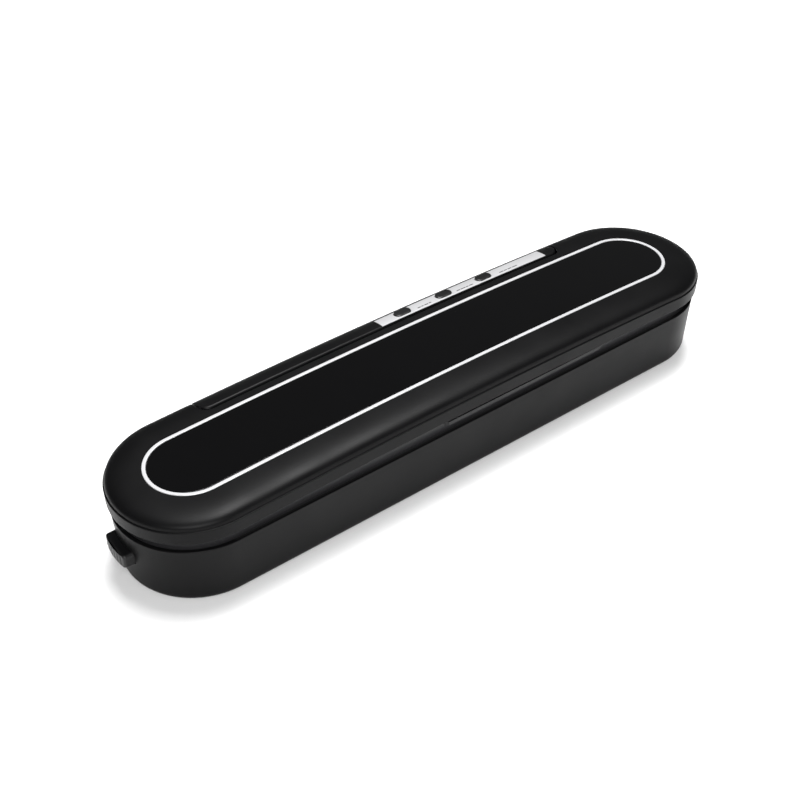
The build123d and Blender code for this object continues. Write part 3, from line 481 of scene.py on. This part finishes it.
def make_lid():
    form = Form()
    rows, edge, corner = lid_rows()
    brink = [i for i, row in enumerate(rows) if abs(row[0] - edge) < 1e-6][0]
    bend = [i for i, row in enumerate(rows) if abs(row[0] - corner) < 1e-6][0]
    side = NOTCH_X + LIP
    turn_x, turn_r = NOTCH_X - NOTCH_CORNER, NOTCH_CORNER + LIP
    arc_x = [turn_x + turn_r * math.sin(math.radians(a)) for a in steps_between(0, 90, 10)]
    places = stadium(RUN, 60, 48, extra=[s * x for x in arc_x for s in (-1, 1)])

    def outer(cx, dx, dy, row, y0=0.0):
        return lean(cx + row[0] * dx, y0 + row[0] * dy, row[1])

    def relieved(y, z):
        """The shell's underside near the notch rises clear of the bar as the lid swings."""
        return max(z, HINGE_Z + math.sqrt(max(0.0, SWING_R ** 2 - (y - HINGE_Y) ** 2)))

    def inner(cx, dx, dy, row, y0=0.0):
        y, z = y0 + row[2] * dy, row[3]
        if dy == 1.0 and abs(cx) < side + 1e-6 and row[0] < edge + 1e-6:
            z = relieved(y, z)
        return lean(cx + row[2] * dx, y, z)

    def inside_notch(a, b):
        return a[2] == 1.0 and b[2] == 1.0 and max(abs(a[0]), abs(b[0])) < side + 1e-6

    count = len(rows)
    for a, b in zip(places, places[1:] + places[:1]):
        last = brink if inside_notch(a, b) else count - 1
        for i in range(last):
            offs = [RING_Y if k < 4 else 0.0 for k in (i, i + 1)]
            form.face(outer(*a, rows[i], offs[0]), outer(*a, rows[i + 1], offs[1]),
                      outer(*b, rows[i + 1], offs[1]), outer(*b, rows[i], offs[0]))
            form.face(inner(*a, rows[i], offs[0]), inner(*a, rows[i + 1], offs[1]),
                      inner(*b, rows[i + 1], offs[1]), inner(*b, rows[i], offs[0]))
        # seat floor and the ceiling under it
        floor_r = 17.0
        low, roof = rows[0][1], rows[0][3]
        seat = [lean(p[0] + floor_r * p[1], RING_Y + floor_r * p[2], low) for p in (a, b)]
        ceil = [lean(p[0] + floor_r * p[1], RING_Y + floor_r * p[2], roof) for p in (a, b)]
        form.face(seat[0], outer(*a, rows[0], RING_Y), outer(*b, rows[0], RING_Y), seat[1])
        form.face(ceil[0], inner(*a, rows[0], RING_Y), inner(*b, rows[0], RING_Y), ceil[1])
        form.face(seat[0], seat[1], ceil[1], ceil[0])
        if not inside_notch(a, b):
            form.face(outer(*a, rows[-1]), inner(*a, rows[-1]), inner(*b, rows[-1]), outer(*b, rows[-1]))

    # corner patches, and the notch's boundary as (outer point, way off the edge, inner point, row)
    def front_y(x):
        over = abs(x) - turn_x
        return corner - math.sqrt(max(0.0, turn_r ** 2 - over ** 2)) if over > 0 else edge

    def patch_point(x, i, under):
        share = (rows[i][0] - edge) / (corner - edge)
        y = edge + (front_y(x) - edge) * share
        z = shoulder_z(y)
        thin = relieved(edge, 0.0) if y < edge + 0.3 else 0.0
        return lean(x, y, max(thin, z - 1.0)) if under else lean(x, y, z)

    chain = []
    for s in (-1, 1):
        for x0, x1 in zip(arc_x, arc_x[1:]):
            for i in range(brink, bend):
                for under in (False, True):
                    form.face(patch_point(s * x0, i, under), patch_point(s * x0, i + 1, under),
                              patch_point(s * x1, i + 1, under), patch_point(s * x1, i, under))
    left = (-side, 0.0, 1.0)
    right = (side, 0.0, 1.0)
    for i in range(count - 1, bend, -1):
        chain.append((outer(*left, rows[i]), Vector((1, 0, 0)), inner(*left, rows[i]), i))
    for a in steps_between(90, 0, 10):
        x = -(turn_x + turn_r * math.sin(math.radians(a)))
        way = Vector((math.sin(math.radians(a)), math.cos(math.radians(a)), 0))
        chain.append((patch_point(x, bend, False), way, patch_point(x, bend, True), None))
    flat = sorted(p for p in places if p[2] == 1.0 and abs(p[0]) < turn_x - 1e-6)
    chain += [(outer(*p, rows[brink]), Vector((0, 1, 0)), inner(*p, rows[brink]), None) for p in flat]
    for a in steps_between(0, 90, 10):
        x = turn_x + turn_r * math.sin(math.radians(a))
        way = Vector((-math.sin(math.radians(a)), math.cos(math.radians(a)), 0))
        chain.append((patch_point(x, bend, False), way, patch_point(x, bend, True), None))
    for i in range(bend + 1, count):
        chain.append((outer(*right, rows[i]), Vector((-1, 0, 0)), inner(*right, rows[i]), i))

    size = LIP * MM
    strips = []
    for p, way, under, i in chain:
        if i is None:
            into = Vector((0, 0, -1))
        else:
            before, after = rows[max(i - 1, 0)], rows[min(i + 1, count - 1)]
            run = Vector((0, after[0] - before[0], after[1] - before[1])).normalized()
            into = Vector((0, run.z, -run.y))
        strip = [p + way * size * math.sin(math.radians(a)) + into * size * (1 - math.cos(math.radians(a)))
                 for a in EDGE_TURNS]
        strips.append(strip + [under + way * size, under])
    form.grid(strips)
    form.piece("lid_cover", "lid", "satin_black_lid", "lid_shell")


def make_ring():
    form = Form()
    low, top = TOP + CROWN - SEAT_DEPTH, TOP + CROWN + 0.05
    outline = [(RING_IN, low)] + arc((RING_IN + 0.3, top - 0.3), 0.3, 180, 90, 4)
    outline += arc((RING_OUT - 0.3, top - 0.3), 0.3, 90, 0, 4) + [(RING_OUT, low)]
    band(form, stadium(RUN, 60, 72), outline, lean, RING_Y)
    form.piece("panel_ring", "lid", "silver_ring", "trim_ring", crease=40)


def make_panel():
    form = Form()
    low, top = TOP + CROWN - SEAT_DEPTH, TOP + CROWN - 0.05
    outline = [(0.0, low), (PANEL_R, low), (PANEL_R, top - 0.2)]
    outline += arc((PANEL_R - 0.2, top - 0.2), 0.2, 0, 90, 4)
    outline += [(r, top) for r in (16.0, 10.0, 5.0, 0.0)]
    band(form, stadium(RUN, 60, 72), outline, lean, RING_Y, closed=False)
    form.piece("inlaid_panel", "lid", "gloss_panel", "top_panel", crease=40)


# ---------------------------------------------------------------- control bar
def make_bar():
    form = Form()
    drop, radius, lip = BAR_DROP, 1.5, 0.4
    front = NOTCH_Y + GAP
    turn_x, turn_r = NOTCH_X - NOTCH_CORNER, NOTCH_CORNER - GAP
    corner = NOTCH_Y + NOTCH_CORNER
    ledge, foot = CREASE + CROWN - drop, SKIRT_FOOT + CROWN

    def front_y(x):
        over = abs(x) - turn_x
        return corner - math.sqrt(max(0.0, turn_r ** 2 - over ** 2)) if over > 0 else front

    ends = [turn_x + (turn_r - lip) * math.sin(math.radians(a)) for a in steps_between(0, 90, 10)]
    xs = sorted({s * x for x in ends for s in (-1, 1)} | set(steps_between(-turn_x, turn_x, 46)))
    tail = [(DOME_R + 0.06, ledge - 0.05), (SKIRT_R - 0.3, ledge - 0.24)]
    tail += arc((SKIRT_R - 0.28, ledge - 0.54), 0.28, 75, 0, 4)
    tail += [(SKIRT_R, z) for z in steps_between(ledge - 1.2, foot + 0.4, 4)]
    tail += arc((SKIRT_R - 0.4, foot + 0.4), 0.4, -20, -90, 3)
    tail += [(39.4, foot - 1.0), (39.4, 34.5 + CROWN)]

    def column(x):
        y0 = front_y(x)
        start = y0 + radius
        rise = shoulder_z(start, drop)
        points = [(y0, 34.5 + CROWN), (y0, rise - radius - 3)]
        points += [(start - radius * math.cos(a), rise - radius + radius * math.sin(a))
                   for a in steps_between(0, math.pi / 2, 6)]
        turn0 = ((start - SHOULDER_R) / (DOME_R - SHOULDER_R)) ** (1 / SQUARENESS)
        for t in steps_between(math.asin(turn0), math.pi / 2, 18)[1:]:
            r = SHOULDER_R + (DOME_R - SHOULDER_R) * math.sin(t) ** SQUARENESS
            points.append((r, shoulder_z(r, drop)))
        return points + tail

    rows = [[upright(x, y, z) for y, z in column(x)] for x in xs]
    form.grid(rows)
    for s, row, x in ((-1, rows[0], xs[0]), (1, rows[-1], xs[-1])):
        middle = upright(x, 35.5, 46.0 + CROWN - 2)
        rims = []
        for a in EDGE_TURNS:
            t = math.radians(a)
            ring = []
            for p in row:
                toward = Vector((0, middle.y - p.y, middle.z - p.z)).normalized()
                out = Vector((s * lip * MM * math.sin(t), 0, 0))
                ring.append(p + out + toward * lip * MM * (1 - math.cos(t)))
            rims.append(ring)
        form.grid(rims)
        hub = middle + Vector((s * lip * MM, 0, 0))
        for p, q in zip(rims[-1], rims[-1][1:] + rims[-1][:1]):
            form.face(p, q, hub)
    bar = form.piece("rear_bar", "base", "satin_black_bar", "control_bar")
    bar.modifiers.clear()
    cut(bar, plate_form(*PLATE_X, *PLATE_Y, -PLATE_THICK, 2.0))
    cut_key_holes(bar)
    sharpen(bar, 32)


def cut_key_holes(obj):
    for x in BUTTON_X:
        cut(obj, prism(obround(x, BUTTON_Y, *KEY_HOLE), TOP - 6, TOP + 8))


def plate_form(x0, x1, y0, y1, low, high, edge=0.0):
    """A strip that follows the bar's top between two heights off its skin, with a rounded upper edge."""
    form = Form()
    xs = steps_between(x0 + edge, x1 - edge, 40)
    ys = steps_between(y0 + edge, y1 - edge, 10)

    def skin(x, y, off):
        return upright(x, y, shoulder_z(y, BAR_DROP) + off)

    def wall(x, y, dx, dy):
        if not edge:
            return [skin(x, y, high), skin(x, y, low)]
        rim = [skin(x + dx * edge * math.sin(a), y + dy * edge * math.sin(a), high - edge * (1 - math.cos(a)))
               for a in steps_between(0, math.pi / 2, 3)]
        return rim + [skin(x + dx * edge, y + dy * edge, low), skin(x, y, low)]

    form.grid([[skin(x, y, high) for y in ys] for x in xs])
    form.grid([[skin(x, y, low) for y in ys] for x in xs])
    loop = [(x, ys[0], 0, -1) for x in xs] + [(xs[-1], y, 1, 0) for y in ys]
    loop += [(x, ys[-1], 0, 1) for x in reversed(xs)] + [(xs[0], y, -1, 0) for y in reversed(ys)]
    form.grid([wall(*place) for place in loop])
    return form


def make_plate():
    form = plate_form(PLATE_X[0] + PLATE_SLACK, PLATE_X[1] - PLATE_SLACK, PLATE_Y[0] + PLATE_SLACK,
                      PLATE_Y[1] - PLATE_SLACK, PLATE_LOW, PLATE_PROUD, edge=PLATE_ROUND)
    plate = form.piece("button_plate", "base", "silver_plate", "control_plate")
    plate.modifiers.clear()
    cut_key_holes(plate)
    sharpen(plate, 32, weighted=False)


def bar_top(x):
    return TOP + CROWN - BAR_DROP - x * x / (2 * SWEEP_R)


def make_buttons():
    """Three obround keys with a softly domed top and a rounded rim."""
    for x, side in zip(BUTTON_X, ("left", "centre", "right")):
        form = Form()
        top = bar_top(x) + KEY_PROUD
        slope = -x / SWEEP_R
        rings = []
        for inset, rise in KEY_RIM:
            ring = [level(px, py, top + rise - KEY_SINK + slope * (px - x))
                    for px, py in obround(x, BUTTON_Y, KEY[0] - 2 * inset, KEY[1] - 2 * inset)]
            rings.append(ring + ring[:1])
        form.grid(rings)
        for ring, middle in ((rings[-1], top - 0.004), (rings[0], top - KEY_DEPTH)):
            for a, b in zip(ring, ring[1:]):
                form.face(a, b, level(x, BUTTON_Y, middle))
        form.piece("key_" + side, "control_button_" + side, "button_black", "control_button_" + side)


def make_marks():
    """Plain dashes printed beside each key."""
    form = Form()
    for x, lengths in MARKS:
        for length in lengths:
            under, rows = ([[upright(px, y, shoulder_z(y, BAR_DROP) + off) for y in steps_between(*MARK_Y, 2)]
                            for px in steps_between(x, x + length, 3)] for off in MARK_Z)
            form.grid(rows)
            form.grid(under)
            for end in (0, -1):
                form.grid([rows[end], under[end]])
            for end in (0, -1):
                form.grid([[r[end] for r in rows], [r[end] for r in under]])
            x += length + MARK_SPACE
    form.piece("key_marks", "base", "mark_grey", slot="silver_plate")


def rounded(points, radius, steps=5):
    """A closed outline with its corners rounded."""
    out = []
    count = len(points)
    for i, p in enumerate(points):
        here, back, on = Vector(p), Vector(points[i - 1]), Vector(points[(i + 1) % count])
        reach = min(radius, (back - here).length * 0.42, (on - here).length * 0.42)
        a, b = here + (back - here).normalized() * reach, here + (on - here).normalized() * reach
        out += [a.lerp(here, t).lerp(here.lerp(b, t), t) for t in steps_between(0, 1, steps)]
    return out


def cap_face_x(y):
    return math.sqrt(CAP_REACH ** 2 - y * y)


def grip_dent(y):
    return sum(GRIP_DEPTH * math.exp(-((y - g) / GRIP_WIDTH) ** 2) for g in GRIPS)


def cross_loop(loop, y):
    """The lowest and highest z of a closed (y, z) loop at one y."""
    found = []
    for a, b in zip(loop, loop[1:] + loop[:1]):
        if min(a.x, b.x) - 1e-9 <= y <= max(a.x, b.x) + 1e-9:
            t = 0 if abs(b.x - a.x) < 1e-9 else (y - a.x) / (b.x - a.x)
            found.append(a.y + (b.y - a.y) * t)
    return min(found), max(found)


def make_end_buttons():
    """Finger buttons: a block that follows the round end, with a rolled rim and five shallow grip grooves."""
    loop = rounded(CAP_OUTLINE, CAP_ROUND)
    rim = CAP_RIM[-1][1]
    inner = [p + (CAP_MIDDLE - p).normalized() * rim for p in loop]
    low_y, high_y = min(p.x for p in inner), max(p.x for p in inner)
    ys = sorted({round(p.x, 5) for p in inner} | {round(y, 5) for y in steps_between(low_y, high_y, 90)})
    ys = [y for y in ys if low_y + 1e-4 < y < high_y - 1e-4]
    for side, name in ((-1, "left"), (1, "right")):
        form = Form()
        ring = [level(side * CAP_BACK, p.x, p.y) for p in loop]
        rings = [ring + ring[:1]]
        for depth, shrink in CAP_RIM:
            ring = []
            for p in loop:
                q = p + (CAP_MIDDLE - p).normalized() * shrink
                ring.append(level(side * (RUN + math.sqrt((CAP_REACH - depth) ** 2 - q.x * q.x)), q.x, q.y))
            rings.append(ring + ring[:1])
        form.grid(rings)
        # outer face, filled with rows between the rim's lower and upper halves
        rows = []
        for y in ys:
            heights = steps_between(*cross_loop(inner, y), 8)
            dents = [0.0] + [grip_dent(y)] * (len(heights) - 2) + [0.0]
            rows.append([level(side * (RUN + cap_face_x(y) - dent), y, z) for z, dent in zip(heights, dents)])
        form.grid(rows)
        back = level(side * CAP_BACK, *CAP_MIDDLE)
        for a, b in zip(rings[0], rings[0][1:]):
            form.face(a, b, back)
        form.piece("end_button_" + name, "release_" + name, "release_black", "release_button_" + name,
                   crease=50)


# ---------------------------------------------------------------- lower case and feet
def wall_r(z, inset=0.0):
    return WALL_FOOT_R + (WALL_TOP_R - WALL_FOOT_R) * (z - WALL_FOOT_Z) / (WALL_TOP_Z - WALL_FOOT_Z) - inset


def box(x, y, z):
    return prism([(x[0], y[0]), (x[1], y[0]), (x[1], y[1]), (x[0], y[1])], *z)


def make_housing():
    """The lower case: drafted wall, rolled foot, eased rim, windows for the end buttons, the inlet's recess,
    and posts with the screws' wells and bores."""
    form = Form()
    foot_r = WALL_FOOT_R - WALL_FOOT_Z
    outline = [(0.0, 0.0), (12.0, 0.0), (24.0, 0.0)]
    outline += arc((foot_r, WALL_FOOT_Z), WALL_FOOT_Z, -90, 0, 10)
    outline += [(wall_r(z), z) for z in steps_between(WALL_FOOT_Z, WALL_TOP_Z - 0.6, 9)[1:]]
    outline += arc((wall_r(WALL_TOP_Z) - 0.5, WALL_TOP_Z - 0.5), 0.5, 0, 90, 5)
    inner_top = wall_r(WALL_TOP_Z, WALL)
    outline += arc((inner_top + 0.3, WALL_TOP_Z - 0.3), 0.3, 90, 180, 3)
    outline += [(wall_r(z, WALL), z) for z in steps_between(WALL_TOP_Z - 1, 6.5, 5)]
    outline += arc((foot_r - 0.4, 5.2), 3.0, 0, -90, 5) + [(20.0, FLOOR), (0.0, FLOOR)]
    band(form, stadium(RUN, 64, 64), outline, level, closed=False)
    case = form.piece("lower_case", "base", "satin_black_base", "base_housing", crease=40)
    case.modifiers.clear()
    window = [p + (p - CAP_MIDDLE).normalized() * CAP_GAP for p in rounded(CAP_OUTLINE, CAP_ROUND)]
    for side in (-1, 1):
        cut(case, between(*([level(side * x, p.x, p.y) for p in window] for x in WINDOW_X)))
    cut(case, box(*INLET_RECESS))
    post = [(0.0, FLOOR - 1), (POST_R, FLOOR - 1), (POST_R, POST_TOP - 0.3), (POST_R - 0.3, POST_TOP),
            (0.0, POST_TOP)]
    well = [(0.0, -1.0), (WELL_R, -1.0), (WELL_R, WELL_TOP), (BORE_R, WELL_TOP), (BORE_R, POST_TOP + 1),
            (0.0, POST_TOP + 1)]
    cut(case, gathered([turned(x, y, post) for x, y in SCREW_SPOTS]), "UNION")
    cut(case, gathered([turned(x, y, well) for x, y in SCREW_SPOTS]))
    sharpen(case, 35)


def turned(x, y, profile, count=48):
    """A form turned about an upright axis from a profile of (radius, z)."""
    form = Form()
    rows = []
    for i in range(count):
        a = 2 * math.pi * i / count
        rows.append([level(x + r * math.cos(a), y + r * math.sin(a), z) for r, z in profile])
    form.grid(rows, closed=True)
    return form


def gathered(forms):
    """Several separate solids as one form."""
    whole = Form()
    for form in forms:
        start = len(whole.points)
        whole.points += form.points
        whole.faces += [[i + start for i in f] for f in form.faces]
    return whole


def make_feet():
    """Round feet with a rolled lower rim and three moulded rings, made as one piece."""
    profile = [(0.0, 0.0), (6.5, 0.0), (6.5, -0.6)] + arc((6.0, -0.7), 0.5, 0, -90, 4)
    profile += [(5.2, -1.2), (5.0, -0.95), (4.4, -0.95), (4.2, -1.2), (3.2, -1.2), (3.0, -0.95), (2.4, -0.95),
                (2.2, -1.2), (0.0, -1.2)]
    feet = gathered([turned(x, y, profile) for x, y in FOOT_SPOTS])
    feet.piece("feet", "base", "foot_rubber", "rubber_feet", crease=30)


# ---------------------------------------------------------------- foam gaskets and return springs
def make_gasket(name, body, node, back, face):
    """A foam ring with soft edges and a slightly full face, flat where it sits in its groove."""
    way = 1 if face > back else -1
    inner, outer = GASKET_R
    middle = (inner + outer) / 2
    depth = abs(face - back)
    half = [(inner + 0.2, 0.0), (inner, 0.2)]
    half += [(inner + GASKET_SOFT * (1 - math.cos(a)), depth - GASKET_FULL - GASKET_SOFT * (1 - math.sin(a)))
             for a in steps_between(0, math.pi / 2, 6)]
    half += [(r, depth - GASKET_FULL * ((r - middle) / (middle - inner - GASKET_SOFT)) ** 2)
             for r in steps_between(inner + GASKET_SOFT, middle, 4)[1:]]
    points = half + [(2 * middle - r, z) for r, z in reversed(half[:-1])]
    form = Form()
    band(form, stadium(GASKET_RUN, 80, 56), [(r, back + way * z) for r, z in points], level, GASKET_Y)
    ring = form.piece(name, body, "foam_grey", node, crease=60)


def make_spring(side, name):
    """A wire coil on its guide, made at one fixed length."""
    form = Form()
    count, around = 40 * COIL_TURNS, 12
    rise = COIL_PITCH / (2 * math.pi)
    rows = []
    for i in range(count + 1):
        a = 2 * math.pi * COIL_TURNS * i / count
        out = Vector((0, math.cos(a), math.sin(a)))
        along = Vector((rise, -COIL_R * math.sin(a), COIL_R * math.cos(a))).normalized()
        over = along.cross(out)
        centre = Vector((rise * a, 0, 0)) + out * COIL_R
        row = []
        for j in range(around + 1):
            b = 2 * math.pi * (j % around) / around
            p = centre + (out * math.cos(b) + over * math.sin(b)) * WIRE_R
            row.append(level(side * (COIL_X - p.x), COIL_Y + p.y, COIL_Z + p.z))
        rows.append(row)
    form.grid(rows)
    for row in (rows[0], rows[-1]):
        form.face(*row[:-1])
    coil = form.piece("return_spring_" + name, "base", "spring_steel", "release_spring_" + name, crease=50)
    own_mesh(coil)


# ---------------------------------------------------------------- floor and light
def make_floor():
    mesh = bpy.data.meshes.new("floor")
    form = bmesh.new()
    bmesh.ops.create_grid(form, x_segments=8, y_segments=8, size=4.0)
    form.to_mesh(mesh)
    form.free()
    floor = bpy.data.objects.new("floor", mesh)
    bpy.context.scene.collection.objects.link(floor)
    pale = surface("pale floor", (0.93, 0.93, 0.93), 0.75, grain=300, bump=0.0, vary=0.01, specular=0.15)
    floor.data.materials.append(pale)


def area(name, where, aim, size, power, size_y=None):
    data = bpy.data.lights.new(name, "AREA")
    data.shape = "RECTANGLE"
    data.size, data.size_y = size, size_y or size
    data.energy = power
    lamp = bpy.data.objects.new(name, data)
    bpy.context.scene.collection.objects.link(lamp)
    lamp.location = where
    lamp.rotation_mode = "QUATERNION"
    lamp.rotation_quaternion = (Vector(where) - Vector(aim)).to_track_quat("Z", "Y")


def make_light():
    world = bpy.data.worlds.new("studio")
    bpy.context.scene.world = world
    world.use_nodes = True
    world.node_tree.nodes["Background"].inputs["Color"].default_value = (1.0, 1.0, 1.0, 1)
    world.node_tree.nodes["Background"].inputs["Strength"].default_value = 0.13
    area("key softbox", (0.27, 0.22, 1.55), (-0.1, -0.03, 0), 0.5, 38.0, 0.9)
    area("fill softbox", (-1.3, -1.9, 1.9), (0, 0.1, 0), 1.5, 78.0)
    area("low softbox", (1.1, -1.9, 0.4), (0, 0, 0.04), 1.6, 12.0, 0.5)


make_camera()
finish_cad_nodes()
make_housing()
make_feet()
make_gasket("foam_ring_lower", "base", "lower_gasket", *LOWER_GASKET_Z)
make_gasket("foam_ring_upper", "lid", "upper_gasket", *UPPER_GASKET_Z)
for spring_side, spring_name in ((-1, "left"), (1, "right")):
    make_spring(spring_side, spring_name)
make_lid()
make_ring()
make_panel()
make_bar()
make_plate()
make_buttons()
make_marks()
make_end_buttons()
make_floor()
make_light()
bpy.context.scene.view_settings.view_transform = "Standard"
